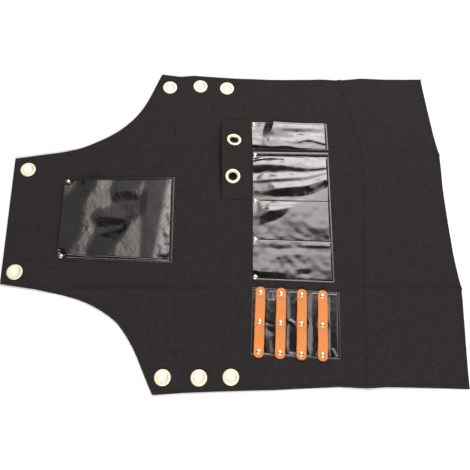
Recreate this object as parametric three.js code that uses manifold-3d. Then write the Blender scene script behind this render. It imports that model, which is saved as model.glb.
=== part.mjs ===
// Barber apron lying face up on a flat surface: a canvas body with curved armholes and eyelets at its edges,
// glossy leather pockets, a canvas flap with two eyelets, and a leather panel with riveted tool straps.
// Millimetres, +Z up. X runs from the bib to the hem, Y across the apron, and the origin is the middle of
// the apron on the surface that it lies on.
import * as THREE from "three";
import { mergeVertices } from "three/addons/utils/BufferGeometryUtils.js";
import Module from "manifold-3d";

const wasm = await Module();
wasm.setup();

// Layers: thicknesses, and the height of the canvas where the backs of the metal hold it off the surface
const CANVAS = 1.2;
const LEATHER = 1.2;
const STRAP = 2.2;
const GAP = 0.3;
const METAL_BACK = 1;
const SEAT_HEIGHT = METAL_BACK + GAP;
const CANVAS_TOP = SEAT_HEIGHT + CANVAS;

// Canvas body: u is measured from the bib's top edge towards the hem, v from the centre line
const LENGTH = 811;
const HIP_WIDTH = 620;
const BIB_WIDTH = 245;
const HIP_AT = 269;
const ARMHOLE_RADIUS = 194;
const ARMHOLE_BIB_DEGREES = 10.5;
const ARMHOLE_HIP_DEGREES = 65.8;
const SIDE_BOW = 5;
const CUT_MARGIN = 8;
const HEM_ROWS = [
  { v: 310, u: 798 },
  { v: 132, u: 810 },
  { v: 0, u: 806 },
  { v: -137, u: LENGTH },
  { v: -310, u: 801 },
];

// Folds left by packing: two run along the apron, and two cross it on bent lines
const FOLD_HALF_WIDTH = 7;
const FOLD_FADE = 60;
const LENGTHWISE_FOLDS = [
  { v: -137, from: 170, height: 2.6 },
  { v: 132, from: 150, height: 2.6 },
];
const CROSSWISE_FOLDS = [
  {
    name: "waist",
    height: 2,
    path: [
      { v: -330, u: 309 },
      { v: 330, u: 297 },
    ],
  },
  {
    name: "thigh",
    height: 2.4,
    path: [
      { v: -330, u: 628 },
      { v: -137, u: 641 },
      { v: 132, u: 664 },
      { v: 330, u: 620 },
    ],
  },
];
const WAVE = { height: 2.2, lengthU: 290, lengthV: 270 };
const COLUMN_COUNTS = [7, 8, 4];
const ROW_COUNTS = [5, 7, 5];

// Level seats, where sewn and riveted pieces keep the canvas flat
const SEAT_FADE = 40;
const SEATS = [
  { name: "bib eyelets", u: [-20, 62], v: [-140, 140] },
  { name: "far hip eyelets", u: [236, 450], v: [236, 330] },
  { name: "near hip eyelets", u: [236, 450], v: [-330, -236] },
  { name: "chest pocket", u: [86, 306], v: [-92, 100] },
  { name: "waist pockets and flap", u: [376, 606], v: [-134, 218] },
  { name: "tool straps", u: [424, 604], v: [-278, -122] },
];

// Eyelets: a front flange, a barrel through the canvas and a rolled back, clinched into one ring
const EYELET = { hole: 8, barrel: 9.2, flange: 14, back: 12.8, crown: 1.7, edge: 0.6, sides: 12 };
const EYELET_CLEARANCE = 0.5;
const CANVAS_HOLE = EYELET.barrel + EYELET_CLEARANCE;
const EDGE_EYELETS = [
  { name: "eyelet_bib_far", u: 25.5, v: 97 },
  { name: "eyelet_bib_near", u: 22.5, v: -102.5 },
  { name: "eyelet_hip_far_1", u: 285.5, v: 281 },
  { name: "eyelet_hip_far_2", u: 346, v: 284.5 },
  { name: "eyelet_hip_far_3", u: 399, v: 280.5 },
  { name: "eyelet_hip_near_1", u: 285, v: -286.5 },
  { name: "eyelet_hip_near_2", u: 345.5, v: -287.5 },
  { name: "eyelet_hip_near_3", u: 399, v: -287 },
];

// Rivets: a domed cap, a post through every layer and a flat back
const RIVET = { cap: 4.2, dome: 1.9, shoulder: 0.9, post: 1.3, back: 3.4, sides: 8 };
const RIVET_CLEARANCE = 0.4;
const RIVET_HOLE = RIVET.post + RIVET_CLEARANCE;
const RIVET_INSET = 4.6;

// Pockets: leather panels sewn on three sides and open towards the bib, placed by their middle on the
// canvas, and narrower at the mouth than at the bottom. Seams and rivets keep a flat margin, and each space
// between them bulges. Rivets, spaces and folds are placed by their distance u from the mouth and v from the
// centre line, as at the bottom's width. A fold is a soft, straight ridge
const SEAM_MARGIN = 10.5;
const DIVIDER_MARGIN = 6;
const CROWN_POWER = 2.5;
const DEPTH_POWER = 3;
const FOLD_POWER = 8;
const POCKETS = [
  {
    name: "chest_pocket", u: 196.5, v: -0.9, degrees: -0.5, length: 202, mouthWidth: 156, width: 170,
    stepsAlong: 13,
    spaces: [{ to: 85, bulge: 9, steps: 11 }],
    rivets: [
      { name: "near", v: -79.3 },
      { name: "far", v: 79.3 },
    ],
    folds: [
      { fromU: 83, fromV: 74, toU: 36, toV: -20, height: 2.4, reach: 20 },
      { fromU: 36, fromV: -20, toU: 22, toV: -80, height: 2, reach: 18 },
      { fromU: 142, fromV: 0, toU: 92, toV: -78, height: 2.2, reach: 18 },
      { fromU: 146, fromV: 80, toU: 148, toV: -80, height: 1.6, reach: 14 },
    ],
  },
  {
    name: "narrow_pocket", u: 520.2, v: 172.9, degrees: -0.7, length: 148.8, mouthWidth: 60, width: 60,
    stepsAlong: 10,
    spaces: [{ to: 30, bulge: 6.5, steps: 6 }],
    rivets: [{ name: "far", v: 25 }],
    folds: [
      { fromU: 50, fromV: 28, toU: 30, toV: -10, height: 1.4, reach: 13 },
      { fromU: 92, fromV: -12, toU: 140, toV: -14, height: 1.2, reach: 11 },
    ],
  },
  {
    name: "triple_pocket", u: 516.8, v: 7.9, degrees: -1.5, length: 147.3, mouthWidth: 255.5, width: 261,
    stepsAlong: 7,
    spaces: [
      { to: -52.5, bulge: 7.5, steps: 6 },
      { to: 27, bulge: 7.5, steps: 7 },
      { to: 130.5, bulge: 7.5, steps: 12 },
    ],
    rivets: [
      { name: "near", v: -125 },
      { name: "divider_1", v: -52.5 },
      { name: "divider_2", v: 26 },
      { name: "far", v: 124.5 },
    ],
    folds: [
      { fromU: 0, fromV: 107, toU: 147, toV: 101, height: 2.4, reach: 12 },
      { fromU: 0, fromV: 80, toU: 147, toV: 86, height: 2, reach: 12 },
      { fromU: 0, fromV: 58, toU: 147, toV: 69, height: 2.4, reach: 13 },
      { fromU: 0, fromV: 2, toU: 72, toV: 18, height: 2.2, reach: 16 },
      { fromU: 40, fromV: -100, toU: 110, toV: -84, height: 1.4, reach: 16 },
    ],
  },
];

// Flap: a canvas patch with two eyelets, sewn at its far, near and pocket edges and open towards the bib. Its
// halves and its pocket edge are planes, each through one point at a height above the canvas, that slope in u
// and v. They meet at a ridge, and what lies lower than the canvas is flat
const FLAP = { from: 387, to: 443.5, near: 37.5, far: 208 };
const FLAP_PLANES = {
  far: { u: 411, v: 160.5, height: 5.2, slopeU: -0.12, slopeV: -0.22 },
  near: { u: FLAP.from, v: FLAP.near, height: 0, slopeU: 0, slopeV: 0.15 },
  pocket: { u: FLAP.to, v: FLAP.near, height: 0, slopeU: -0.6, slopeV: 0 },
};
const FLAP_EYELETS = [
  { name: "eyelet_flap_far", u: 411, v: 160.5, plane: FLAP_PLANES.far },
  { name: "eyelet_flap_near", u: 407.5, v: 82.5, plane: FLAP_PLANES.near },
];
const FLAP_STEPS_ALONG = 6;
const FLAP_ROWS = [FLAP.near, 53, 68, 82.5, 97, 114, 132, 146, 160.5, 175, 191, FLAP.far];

// Tool straps: four straps across a leather panel, each held by three rivets with a loop between each two
const TOOL_PANEL = { u: 512.7, v: -196, degrees: -3.6, length: 156, width: 119 };
const TOOL_STRAP = { length: 125, width: 18, corner: 6, loop: 5.6, flat: 7, rivetPitch: 52, middle: -1.2 };
const STRAP_ROW = { count: 4, pitch: 36.6, middle: -8 };
const LOOP_POWER = 0.8;
const LOOP_STEPS = 6;

// Materials
const MATERIALS = {
  canvas: new THREE.MeshStandardMaterial({ color: 0x322e2f, roughness: 0.95, metalness: 0 }),
  pocketLeather: new THREE.MeshStandardMaterial({ color: 0x121213, roughness: 0.22, metalness: 0 }),
  strapLeather: new THREE.MeshStandardMaterial({ color: 0xd98242, roughness: 0.5, metalness: 0 }),
  paleGold: new THREE.MeshStandardMaterial({ color: 0xecd9a8, roughness: 0.25, metalness: 1 }),
};

// Helpers on numbers
const radians = THREE.MathUtils.degToRad;
const fadeOut = (distance, reach) => 1 - THREE.MathUtils.smoothstep(distance, 0, reach);
const outside = (x, [low, high]) => Math.max(low - x, x - high, 0);

function evenSteps(from, to, steps) {
  return Array.from({ length: steps + 1 }, (_, i) => from + ((to - from) * i) / steps);
}

// A value that changes in straight stretches between the rows of a table
function between(rows, v) {
  const next = rows.findIndex((row) => row.v > v);
  const [a, b] = [rows[Math.max(next - 1, 0)], rows[next]];
  return THREE.MathUtils.mapLinear(v, a.v, b.v, a.u, b.u);
}

// A geometry as a solid that can be joined and cut, and a solid as a geometry
const MERGE_TOLERANCE = 1e-4;

function solidOf(geometry) {
  const bare = geometry.clone();
  bare.deleteAttribute("normal");
  bare.deleteAttribute("uv");
  const merged = mergeVertices(bare, MERGE_TOLERANCE);
  const vertProperties = merged.attributes.position.array;
  const triVerts = new Uint32Array(merged.index.array);
  return new wasm.Manifold(new wasm.Mesh({ numProp: 3, vertProperties, triVerts }));
}

function geometryOf(solid) {
  const { vertProperties, triVerts } = solid.getMesh();
  const geometry = new THREE.BufferGeometry();
  geometry.setAttribute("position", new THREE.BufferAttribute(vertProperties, 3));
  geometry.setIndex(new THREE.BufferAttribute(triVerts, 1));
  return geometry;
}

// A closed sheet over a grid of underside points, with the same thickness everywhere
function sheet(rows, thickness) {
  const [rowCount, columnCount] = [rows.length, rows[0].length];
  const layer = rowCount * columnCount;
  const points = rows.flat();
  const positions = [...points, ...points.map(([x, y, z]) => [x, y, z + thickness])].flat();
  const at = (row, column, top) => row * columnCount + column + (top ? layer : 0);
  const index = [];
  const quad = (a, b, c, d) => index.push(a, b, c, a, c, d);
  for (let r = 0; r < rowCount - 1; r++) {
    for (let c = 0; c < columnCount - 1; c++) {
      quad(at(r, c, true), at(r, c + 1, true), at(r + 1, c + 1, true), at(r + 1, c, true));
      quad(at(r, c), at(r + 1, c), at(r + 1, c + 1), at(r, c + 1));
    }
    quad(at(r, 0), at(r, 0, true), at(r + 1, 0, true), at(r + 1, 0));
    const last = columnCount - 1;
    quad(at(r + 1, last), at(r + 1, last, true), at(r, last, true), at(r, last));
  }
  for (let c = 0; c < columnCount - 1; c++) {
    quad(at(0, c + 1), at(0, c + 1, true), at(0, c, true), at(0, c));
    const last = rowCount - 1;
    quad(at(last, c), at(last, c, true), at(last, c + 1, true), at(last, c + 1));
  }
  const geometry = new THREE.BufferGeometry();
  geometry.setAttribute("position", new THREE.Float32BufferAttribute(positions, 3));
  geometry.setIndex(index);
  return geometry;
}

// A straight cutter through every layer, of any outline or round
const CUT_FROM = -10;
const CUT_DEPTH = 60;
const LEVEL = new THREE.Quaternion();

function prism(outline) {
  const shape = new THREE.Shape(outline);
  const geometry = new THREE.ExtrudeGeometry(shape, { depth: CUT_DEPTH, bevelEnabled: false });
  return solidOf(geometry.translate(0, 0, CUT_FROM));
}

function holeCutter({ u, v }, radius, sides, height = 0, tilt = LEVEL) {
  const cylinder = new THREE.CylinderGeometry(radius, radius, CUT_DEPTH, sides);
  return solidOf(cylinder.rotateX(Math.PI / 2).applyQuaternion(tilt).translate(u, v, height));
}

const RIVET_HOLE_SIDES = 6;
const rivetHole = (place) => holeCutter(place, RIVET_HOLE, RIVET_HOLE_SIDES);
const eyeletHole = (place, height, tilt) => holeCutter(place, CANVAS_HOLE, EYELET.sides, height, tilt);

const apron = new THREE.Group();
apron.position.x = -LENGTH / 2;

function add(parent, name, geometry, material) {
  const mesh = new THREE.Mesh(geometry, material);
  mesh.name = name;
  parent.add(mesh);
  return mesh;
}

// A place in a turned group, as a place on the canvas
function onCanvas(group, { u, v }) {
  const turned = new THREE.Vector2(u, v).rotateAround(new THREE.Vector2(), radians(group.degrees));
  return { u: group.u + turned.x, v: group.v + turned.y };
}

function turnedGroup({ u, v, degrees }) {
  const group = new THREE.Group();
  group.position.set(u, v, 0);
  group.rotation.z = radians(degrees);
  apron.add(group);
  return group;
}

// Canvas body

// Outline of one side, from the bib's corner round the armhole and down the side to the hem's corner
const SIDE_DIVISIONS = 6;
const HEM_DIVISIONS = 12;

function sideOutline(hemCorner) {
  const [start, end] = [radians(ARMHOLE_BIB_DEGREES), radians(ARMHOLE_HIP_DEGREES)];
  const bib = new THREE.Vector2(0, BIB_WIDTH / 2);
  const hip = new THREE.Vector2(HIP_AT, HIP_WIDTH / 2);
  const corner = new THREE.Vector2();
  corner.x = (hip.y - bib.y - hip.x * Math.tan(end)) / (Math.tan(start) - Math.tan(end));
  corner.y = bib.y + corner.x * Math.tan(start);
  const tangent = ARMHOLE_RADIUS * Math.tan((end - start) / 2);
  const along = new THREE.Vector2(Math.cos(start), Math.sin(start));
  const from = corner.clone().addScaledVector(along, -tangent);
  const centre = from.clone().addScaledVector(new THREE.Vector2(-along.y, along.x), ARMHOLE_RADIUS);
  const side = new THREE.Path();
  side.moveTo(bib.x, bib.y);
  side.lineTo(from.x, from.y);
  side.absarc(centre.x, centre.y, ARMHOLE_RADIUS, start - Math.PI / 2, end - Math.PI / 2);
  side.lineTo(hip.x, hip.y);
  side.quadraticCurveTo((hip.x + hemCorner) / 2, hip.y - 2 * SIDE_BOW, hemCorner, hip.y);
  return side.getPoints(SIDE_DIVISIONS);
}

function bodyOutline() {
  const hemCurve = new THREE.SplineCurve(HEM_ROWS.map(({ u, v }) => new THREE.Vector2(u, v)));
  const hem = hemCurve.getPoints(HEM_DIVISIONS);
  const [farCorner, nearCorner] = [hem.shift(), hem.pop()];
  const far = sideOutline(farCorner.x);
  const near = sideOutline(nearCorner.x).map(({ x, y }) => new THREE.Vector2(x, -y));
  return [...far, ...hem, ...near.reverse()];
}

// Height of the canvas above the surface: level seats, and fold ridges and slow waves between them
function foldRidge(distance, height) {
  return height * Math.max(0, 1 - Math.abs(distance) / FOLD_HALF_WIDTH);
}

function canvasHeight(u, v) {
  const seats = SEATS.map(
    (seat) => fadeOut(outside(u, seat.u), SEAT_FADE) * fadeOut(outside(v, seat.v), SEAT_FADE),
  );
  const crosswise = CROSSWISE_FOLDS.map((fold) => foldRidge(u - between(fold.path, v), fold.height));
  const lengthwise = LENGTHWISE_FOLDS.map(
    (fold) => foldRidge(v - fold.v, fold.height) * fadeOut(outside(u, [fold.from, Infinity]), FOLD_FADE),
  );
  const [turnU, turnV] = [(2 * Math.PI * u) / WAVE.lengthU, (2 * Math.PI * v) / WAVE.lengthV];
  const wave = (WAVE.height * (1 + Math.sin(turnU) * Math.cos(turnV))) / 2;
  const seat = Math.max(...seats);
  return seat * SEAT_HEIGHT + (1 - seat) * (Math.max(...crosswise, ...lengthwise) + wave);
}

// Grid lines between guides: each inner guide is a fold and gets a line on its ridge and one at each foot
function gridLines(guides, counts) {
  const lines = [];
  counts.forEach((count, k) => {
    const first = guides[k] + (k > 0 ? FOLD_HALF_WIDTH : 0);
    const last = guides[k + 1] - (k < counts.length - 1 ? FOLD_HALF_WIDTH : 0);
    lines.push(...evenSteps(first, last, count));
    if (k < counts.length - 1) lines.push(guides[k + 1]);
  });
  return lines;
}

function canvasSheet() {
  const edge = HIP_WIDTH / 2 + CUT_MARGIN;
  const rowGuides = [-edge, ...LENGTHWISE_FOLDS.map((fold) => fold.v), edge];
  const rows = gridLines(rowGuides, ROW_COUNTS).map((v) => {
    const folds = CROSSWISE_FOLDS.map((fold) => between(fold.path, v));
    const guides = [-CUT_MARGIN, ...folds, LENGTH + CUT_MARGIN];
    return gridLines(guides, COLUMN_COUNTS).map((u) => [u, v, canvasHeight(u, v)]);
  });
  return sheet(rows, CANVAS);
}

function addCanvas(rivetPlaces) {
  let canvas = solidOf(canvasSheet()).intersect(prism(bodyOutline()));
  for (const place of EDGE_EYELETS) canvas = canvas.subtract(eyeletHole(place));
  for (const place of rivetPlaces) canvas = canvas.subtract(rivetHole(place));
  add(apron, "canvas_body", geometryOf(canvas), MATERIALS.canvas);
}

// Metal: eyelets and rivets, with z counted from the underside of the canvas that they grip

function eyeletGeometry() {
  const [bottom, front] = [-GAP - METAL_BACK, CANVAS + GAP];
  const profile = [
    [EYELET.hole, bottom],
    [EYELET.back, bottom],
    [EYELET.back, -GAP],
    [EYELET.barrel, -GAP],
    [EYELET.barrel, front],
    [EYELET.flange, front],
    [EYELET.flange, front + EYELET.edge],
    [EYELET.flange - EYELET.crown, front + EYELET.crown],
    [EYELET.hole + EYELET.crown, front + EYELET.crown],
    [EYELET.hole, front + EYELET.edge],
    [EYELET.hole, bottom],
  ];
  return latheAboutZ(profile, EYELET.sides);
}

function rivetGeometry(grip) {
  const profile = [
    [0, -GAP - METAL_BACK],
    [RIVET.back, -GAP - METAL_BACK],
    [RIVET.back, -GAP],
    [RIVET.post, -GAP],
    [RIVET.post, grip],
    [RIVET.cap, grip],
    [RIVET.cap, grip + RIVET.shoulder],
    [0, grip + RIVET.dome],
  ];
  return latheAboutZ(profile, RIVET.sides);
}

function latheAboutZ(profile, sides) {
  const points = profile.map(([radius, height]) => new THREE.Vector2(radius, height));
  const turned = new THREE.LatheGeometry(points, sides).rotateX(Math.PI / 2);
  return geometryOf(solidOf(turned));
}

function addRivet(parent, name, { u, v }, grip) {
  const rivet = add(parent, name, rivetGeometry(grip), MATERIALS.paleGold);
  rivet.position.set(u, v, SEAT_HEIGHT);
}

function addEdgeEyelets() {
  for (const { name, u, v } of EDGE_EYELETS) {
    add(apron, name, eyeletGeometry(), MATERIALS.paleGold).position.set(u, v, SEAT_HEIGHT);
  }
}

// Pockets

// A place at the bottom's width, drawn in towards the centre line as far as the pocket is narrower there
function tapered({ length, mouthWidth, width }, u, v) {
  return (v * THREE.MathUtils.mapLinear(u, 0, length, mouthWidth, width)) / width;
}

// Spaces of a pocket across its width: each lies between the margins of two seams
function pocketSpaces({ width, spaces }) {
  const seams = [-width / 2, ...spaces.map(({ to }) => to)];
  const margin = (k) => (k === 0 || k === spaces.length ? SEAM_MARGIN : DIVIDER_MARGIN);
  return spaces.map((space, k) => ({ ...space, from: seams[k] + margin(k), to: space.to - margin(k + 1) }));
}

// Height of a fold's ridge at a point, from its distance to the fold's line
function foldHeight(fold, u, v) {
  const [from, to] = [new THREE.Vector3(fold.fromU, fold.fromV), new THREE.Vector3(fold.toU, fold.toV)];
  const line = new THREE.Line3(from, to);
  const point = new THREE.Vector3(u, v);
  const nearest = line.closestPointToPoint(point, true, new THREE.Vector3());
  const share = Math.min(1, point.distanceTo(nearest) / fold.reach);
  return fold.height * (1 - share ** 2) ** 2;
}

function pocketHeight(pocket, u, v) {
  const space = pocketSpaces(pocket).find(({ from, to }) => v > from && v < to);
  if (!space) return 0;
  const across = Math.abs(THREE.MathUtils.mapLinear(v, space.from, space.to, -1, 1));
  const along = Math.min(1, u / (pocket.length - SEAM_MARGIN));
  const bulge = space.bulge * (1 - across ** CROWN_POWER) * (1 - along ** DEPTH_POWER);
  const loose = (1 - across ** FOLD_POWER) * (1 - along ** FOLD_POWER);
  return bulge + loose * Math.max(...pocket.folds.map((fold) => foldHeight(fold, u, v)));
}

function pocketSheet(pocket) {
  const depth = pocket.length - SEAM_MARGIN;
  const along = [...evenSteps(0, depth, pocket.stepsAlong), pocket.length];
  const across = pocketSpaces(pocket).flatMap(({ from, to, steps }) => evenSteps(from, to, steps));
  const rows = [-pocket.width / 2, ...across, pocket.width / 2].map((v) =>
    along.map((u) => {
      const height = CANVAS_TOP + GAP + pocketHeight(pocket, u, v);
      return [u - pocket.length / 2, tapered(pocket, u, v), height];
    }),
  );
  return sheet(rows, LEATHER);
}

function addPocket(pocket) {
  const group = turnedGroup(pocket);
  const grip = CANVAS + GAP + LEATHER + GAP;
  const rivets = pocket.rivets.map(({ name, v }) => ({
    name,
    u: RIVET_INSET - pocket.length / 2,
    v: tapered(pocket, RIVET_INSET, v),
  }));
  let panel = solidOf(pocketSheet(pocket));
  for (const place of rivets) {
    panel = panel.subtract(rivetHole(place));
    addRivet(group, `${pocket.name}_rivet_${place.name}`, place, grip);
  }
  add(group, pocket.name, geometryOf(panel), MATERIALS.pocketLeather);
  return rivets.map((place) => onCanvas(pocket, place));
}

// Flap

// Height of the flap's underside
function flapHeight(u, v) {
  const rises = Object.values(FLAP_PLANES).map(
    (plane) => plane.height + plane.slopeU * (u - plane.u) + plane.slopeV * (v - plane.v),
  );
  return CANVAS_TOP + GAP + Math.max(0, Math.min(...rises));
}

function addFlap() {
  const along = evenSteps(FLAP.from, FLAP.to, FLAP_STEPS_ALONG);
  let flap = solidOf(sheet(FLAP_ROWS.map((v) => along.map((u) => [u, v, flapHeight(u, v)])), CANVAS));
  for (const { name, u, v, plane } of FLAP_EYELETS) {
    const normal = new THREE.Vector3(-plane.slopeU, -plane.slopeV, 1).normalize();
    const tilt = new THREE.Quaternion().setFromUnitVectors(new THREE.Vector3(0, 0, 1), normal);
    flap = flap.subtract(eyeletHole({ u, v }, flapHeight(u, v), tilt));
    const eyelet = add(apron, name, eyeletGeometry(), MATERIALS.paleGold);
    eyelet.position.set(u, v, flapHeight(u, v));
    eyelet.quaternion.copy(tilt);
  }
  add(apron, "eyelet_flap", geometryOf(flap), MATERIALS.canvas);
}

// Tool straps

const STRAP_BASE = CANVAS_TOP + GAP + LEATHER + GAP;
const strapPlace = (k) => STRAP_ROW.middle + (k - (STRAP_ROW.count - 1) / 2) * STRAP_ROW.pitch;

const CORNER_DIVISIONS = 2;

function strapOutline(u) {
  const { length, width, corner, middle } = TOOL_STRAP;
  const [x, y] = [width / 2 - corner, length / 2 - corner];
  const outline = new THREE.Shape();
  outline.absarc(u + x, middle + y, corner, 0, Math.PI / 2);
  outline.absarc(u - x, middle + y, corner, Math.PI / 2, Math.PI);
  outline.absarc(u - x, middle - y, corner, Math.PI, (3 * Math.PI) / 2);
  outline.absarc(u + x, middle - y, corner, (3 * Math.PI) / 2, 2 * Math.PI);
  return outline.getPoints(CORNER_DIVISIONS);
}

// A strap lies flat at its three rivets and rises into a loop on both sides of the middle one
function strapSheet(u) {
  const { flat, rivetPitch, loop, length, width, middle } = TOOL_STRAP;
  const half = evenSteps(0, 1, LOOP_STEPS).map((share) => ({
    out: THREE.MathUtils.lerp(flat, rivetPitch - flat, share),
    rise: loop * Math.sin(Math.PI * share) ** LOOP_POWER,
  }));
  half.push({ out: length / 2 + CUT_MARGIN, rise: 0 });
  const line = [...half.map(({ out, rise }) => ({ out: -out, rise })).reverse(), ...half];
  const sides = [u - width / 2 - CUT_MARGIN, u + width / 2 + CUT_MARGIN];
  return sheet(line.map(({ out, rise }) => sides.map((x) => [x, middle + out, STRAP_BASE + rise])), STRAP);
}

function addToolStraps() {
  const group = turnedGroup(TOOL_PANEL);
  const { length, width } = TOOL_PANEL;
  const base = CANVAS_TOP + GAP;
  const grip = STRAP_BASE + STRAP + GAP - SEAT_HEIGHT;
  const corners = [-width / 2, width / 2].map((v) => [-length / 2, length / 2].map((u) => [u, v, base]));
  let panel = solidOf(sheet(corners, LEATHER));
  const places = [];
  for (let k = 0; k < STRAP_ROW.count; k++) {
    const u = strapPlace(k);
    const rivets = [-1, 0, 1].map((row) => ({ u, v: TOOL_STRAP.middle + row * TOOL_STRAP.rivetPitch }));
    let strap = solidOf(strapSheet(u)).intersect(prism(strapOutline(u)));
    rivets.forEach((place, row) => {
      strap = strap.subtract(rivetHole(place));
      panel = panel.subtract(rivetHole(place));
      addRivet(group, `tool_strap_${k + 1}_rivet_${row + 1}`, place, grip);
      places.push(onCanvas(TOOL_PANEL, place));
    });
    add(group, `tool_strap_${k + 1}`, geometryOf(strap), MATERIALS.strapLeather);
  }
  add(group, "tool_panel", geometryOf(panel), MATERIALS.pocketLeather);
  return places;
}

const rivetPlaces = [...POCKETS.flatMap(addPocket), ...addToolStraps()];
addFlap();
addEdgeEyelets();
addCanvas(rivetPlaces);

export default apron;
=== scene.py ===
import math

import bpy
import numpy as np
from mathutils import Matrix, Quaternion, Vector, noise
from mathutils.geometry import delaunay_2d_cdt


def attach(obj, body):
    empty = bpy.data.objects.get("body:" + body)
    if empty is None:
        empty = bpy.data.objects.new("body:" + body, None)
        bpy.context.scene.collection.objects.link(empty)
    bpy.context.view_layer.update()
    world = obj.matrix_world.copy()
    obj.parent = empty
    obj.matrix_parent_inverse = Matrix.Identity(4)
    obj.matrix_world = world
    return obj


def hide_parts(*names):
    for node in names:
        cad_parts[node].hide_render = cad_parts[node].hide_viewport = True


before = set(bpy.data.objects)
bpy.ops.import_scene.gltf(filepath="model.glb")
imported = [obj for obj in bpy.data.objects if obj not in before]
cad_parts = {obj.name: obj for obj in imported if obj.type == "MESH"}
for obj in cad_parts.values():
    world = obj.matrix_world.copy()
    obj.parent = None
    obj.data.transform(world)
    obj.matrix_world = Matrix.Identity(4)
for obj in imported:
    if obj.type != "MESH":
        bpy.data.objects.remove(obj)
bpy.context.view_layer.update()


# Camera: it stands over the apron's near edge and looks down at the waist, turned a little, so that the
# apron lies slightly askew in the square picture.
camera = bpy.data.objects.new("camera", bpy.data.cameras.new("camera"))
bpy.context.scene.collection.objects.link(camera)
bpy.context.scene.camera = camera
camera.data.sensor_width = 36
camera.data.lens = 46.29
camera.location = (-0.04875, -0.41964, 1.03269)
looked_at = Vector((0.00469, -0.03172, 0))
roll = Quaternion((0, 0, 1), math.radians(7.397))
camera.rotation_mode = "QUATERNION"
camera.rotation_quaternion = (looked_at - camera.location).to_track_quat("-Z", "Y") @ roll


# Studio: a white floor under a row of softboxes beyond the apron's far edge, each brighter than the last.
# Dimmer panels hang beside the row, a low one fills in from the near side, and the room is dark grey.
MM = 0.001


def new_finish(name, **surface):
    """A material with one shader, and the values that are the same all over it."""
    finish = bpy.data.materials.new(name)
    finish.use_nodes = True
    shader = finish.node_tree.nodes["Principled BSDF"]
    for socket, value in surface.items():
        shader.inputs[socket.replace("_", " ")].default_value = value
    return finish


def make_piece(name, points, faces, finishes, second_finish_from=None):
    """A smooth mesh from points in millimetres. Faces from the given one on take the second finish."""
    mesh = bpy.data.meshes.new(name)
    mesh.from_pydata((np.asarray(points) * MM).tolist(), [], faces)
    mesh.shade_smooth()
    for finish in finishes:
        mesh.materials.append(finish)
    if second_finish_from is not None:
        for face in mesh.polygons[second_finish_from:]:
            face.material_index = 1
    piece = bpy.data.objects.new(name, mesh)
    bpy.context.scene.collection.objects.link(piece)
    return piece


FLOOR_SIDE, FLOOR_DROP = 8000, 0.3
WHITE = (0.95, 0.95, 0.95, 1)
floor_white = new_finish("floor_white", Base_Color=WHITE, Roughness=0.9, Specular_IOR_Level=0)
corners = np.array([(-1, -1, 0), (1, -1, 0), (1, 1, 0), (-1, 1, 0)]) * FLOOR_SIDE / 2 - (0, 0, FLOOR_DROP)
floor = make_piece("floor", corners, [(0, 1, 2, 3)], [floor_white])

LAMP_WHITE, LAMP_WARM = (1, 0.945, 0.93), (1, 0.87, 0.81)
LAMP_HEIGHT = 2


def softbox(name, middle, size, brightness, aim, color=LAMP_WHITE):
    """A soft lamp of the given width and depth in metres, and how bright its face is."""
    lamp = bpy.data.objects.new(name, bpy.data.lights.new(name, "AREA"))
    bpy.context.scene.collection.objects.link(lamp)
    lamp.data.shape = "RECTANGLE"
    lamp.data.size, lamp.data.size_y = size
    lamp.data.energy = brightness * math.pi * size[0] * size[1]
    lamp.data.color = color
    lamp.location = middle
    lamp.rotation_mode = "QUATERNION"
    lamp.rotation_quaternion = (Vector(aim) - Vector(middle)).to_track_quat("-Z", "Y")


def overhead(name, over, size, brightness, color=LAMP_WHITE):
    """A softbox that hangs level above a place on the floor."""
    softbox(name, (*over, LAMP_HEIGHT), size, brightness, aim=(*over, 0), color=color)


ROW_LEFT, ROW_RIGHT = 0.05, 1.1
ROW_STEPS = (0.45, 0.55, 0.7, 0.85, 1.1, 1.35, 1.65, 2.5)
ROW_BRIGHTNESS = (2.5, 4.5, 7, 7.3, 7.5, 9, 13.6)
for k, brightness in enumerate(ROW_BRIGHTNESS):
    low, high = ROW_STEPS[k:k + 2]
    over = ((ROW_LEFT + ROW_RIGHT) / 2, (low + high) / 2)
    overhead(f"softbox_{k + 1}", over, (ROW_RIGHT - ROW_LEFT, high - low), brightness)
overhead("left_panel", over=(-1.1, 1.2), size=(1.0, 1.4), brightness=0.5)
overhead("inner_panel", over=(-0.4, 1.2), size=(0.4, 1.4), brightness=0.8)
overhead("warm_panel", over=(-0.075, 1.1), size=(0.25, 1.6), brightness=3.6, color=LAMP_WARM)
overhead("right_panel", over=(1.1, 0.17), size=(0.6, 0.55), brightness=4.5)
softbox("fill_panel", middle=(0, -2.2, 1.2), size=(2.5, 1.2), brightness=7.5, aim=(0, 0, 0))

room = bpy.data.worlds.new("room")
bpy.context.scene.world = room
room.use_nodes = True
room.node_tree.nodes["Background"].inputs["Color"].default_value = (0.12, 0.12, 0.12, 1)
bpy.context.scene.view_settings.view_transform = "Standard"


# Canvas body: one sheet of black cotton canvas, cut with curved armholes. Its edges are turned under and
# sewn down, and the folds that it was packed in still stand as low ridges.
BIB_TO_MIDDLE = 405.5
CANVAS = 1.2
SEAT_HEIGHT = 1.3
CANVAS_TOP = SEAT_HEIGHT + CANVAS
BODY_LENGTH = 811
HIP_AT = 269
HIP_HALF = 310
BIB_HALF = 122.5
ARMHOLE_RADIUS = 194
ARMHOLE_BIB_ANGLE = math.radians(10.5)
ARMHOLE_HIP_ANGLE = math.radians(65.8)
SIDE_BOW = 5
FAR_WAVE_U = (0, 90, 150, 250, 270, 306, 332, 420, 490, 594, 627, 672, 720, 811)
FAR_WAVE = (-2.5, -4.5, 0, -3.5, 1.5, -1.8, 1.8, -1.8, -2.2, -0.3, -2.9, 2, -0.5, -0.8)
NEAR_WAVE_U = (0, 60, 120, 170, 205, 230, 255, 320, 470, 580, 630, 660, 811)
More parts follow.
